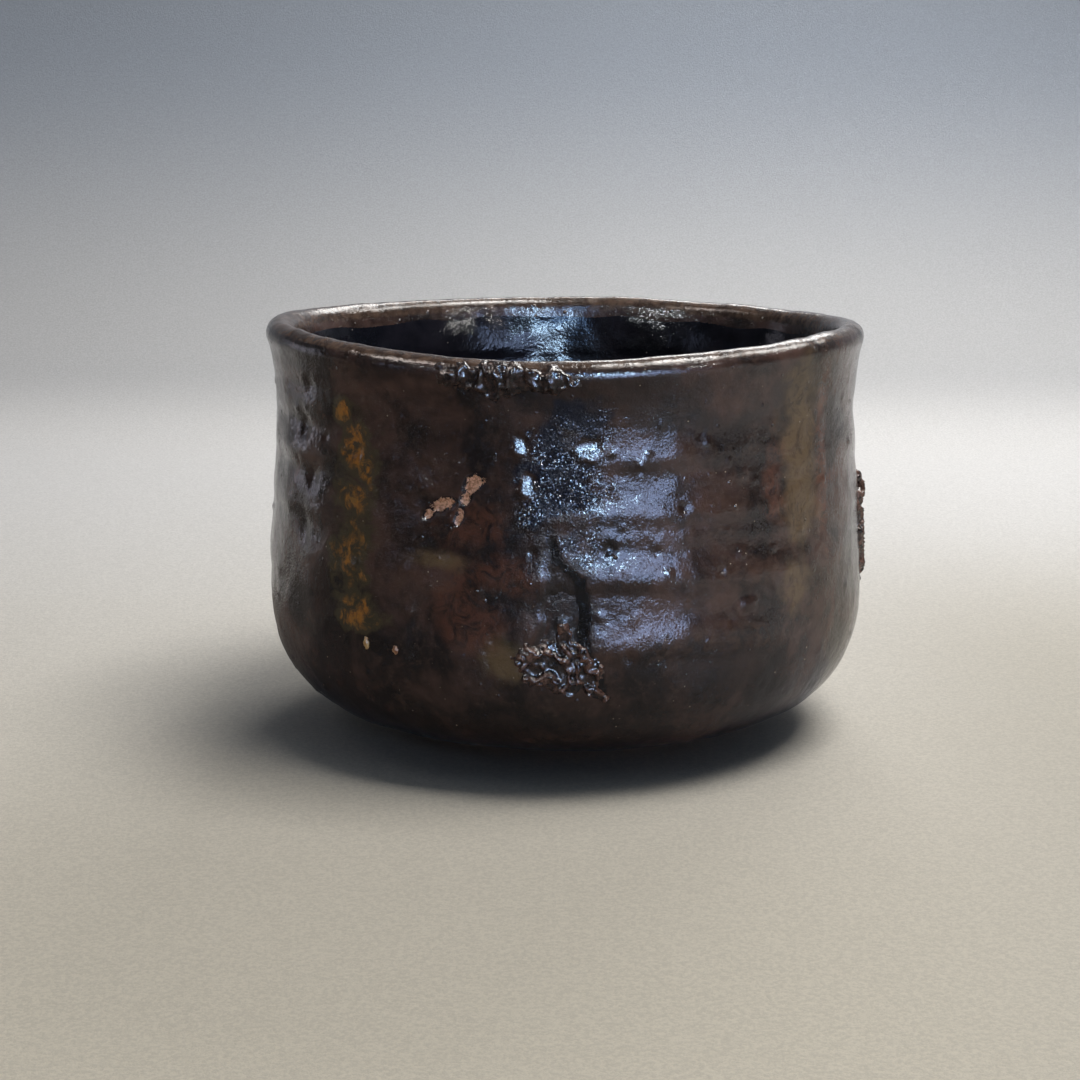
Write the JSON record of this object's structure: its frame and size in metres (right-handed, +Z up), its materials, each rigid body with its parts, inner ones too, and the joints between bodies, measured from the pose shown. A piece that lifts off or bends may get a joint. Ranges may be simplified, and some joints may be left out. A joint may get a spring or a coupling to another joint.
{
  "type": "matcha bowl",
  "caption": "Hand-shaped tea bowl with nearly upright walls, a rounded flared lip, a wide well for whisking matcha and a low foot ring, in a thick dark glaze.",
  "frame": {"origin": "on the surface that the bowl stands on, under the middle of the foot ring and of the bowl", "axes": "+Z up through the mouth; -Y towards the bowl's front, the side with the scar low on the wall; +X to the right seen from the front"},
  "size_m": [0.1223, 0.1221, 0.0836],
  "materials": {
    "clay": "matt, unglazed, warm brown fired clay",
    "inner_glaze": "glossy blue-black glaze",
    "outer_glaze": "glossy brown-black glaze with amber patches, bronze where it thins over the lip",
    "crust": "rough blistered glaze with glossy points",
    "cream_stone": "satin grain of feldspar",
    "peach_stone": "satin grain of feldspar"
  },
  "bodies": {
    "root": {"clay_body": "clay", "foot_ring": "clay", "inner_glaze": "inner_glaze", "outer_glaze": "outer_glaze", "front_crust": "crust", "lip_crust": "crust", "side_crust": "crust", "cream_stone_grain": "cream_stone", "peach_stone_grain": "peach_stone"}
  },
  "joints": []
}
